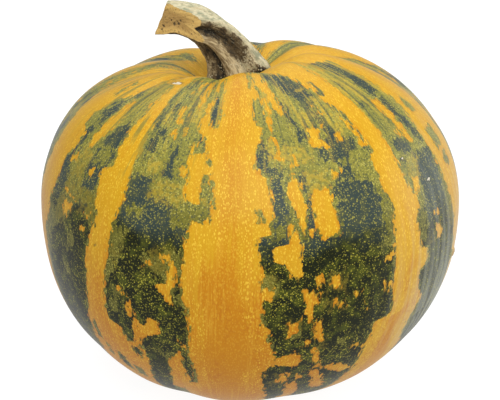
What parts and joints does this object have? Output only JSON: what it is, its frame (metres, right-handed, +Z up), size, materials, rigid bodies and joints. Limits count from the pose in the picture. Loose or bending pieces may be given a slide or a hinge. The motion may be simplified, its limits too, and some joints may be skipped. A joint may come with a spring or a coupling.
{
  "type": "pumpkin",
  "caption": "Whole ribbed pumpkin with orange and mottled green stripes, and a bent, ridged stalk cut on a slant; it rests on its underside.",
  "frame": {"origin": "on the surface it rests on, in the middle of the fruit's width and depth", "axes": "+Z up along the fruit's core, -Y towards the front, -X the way the stalk bends over"},
  "size_m": [0.2094, 0.2104, 0.1945],
  "materials": {
    "rind": "waxy striped rind, satin",
    "stalk": "dry, ridged and corky"
  },
  "bodies": {
    "root": {"fruit": "rind", "stem": "stalk"}
  },
  "joints": []
}
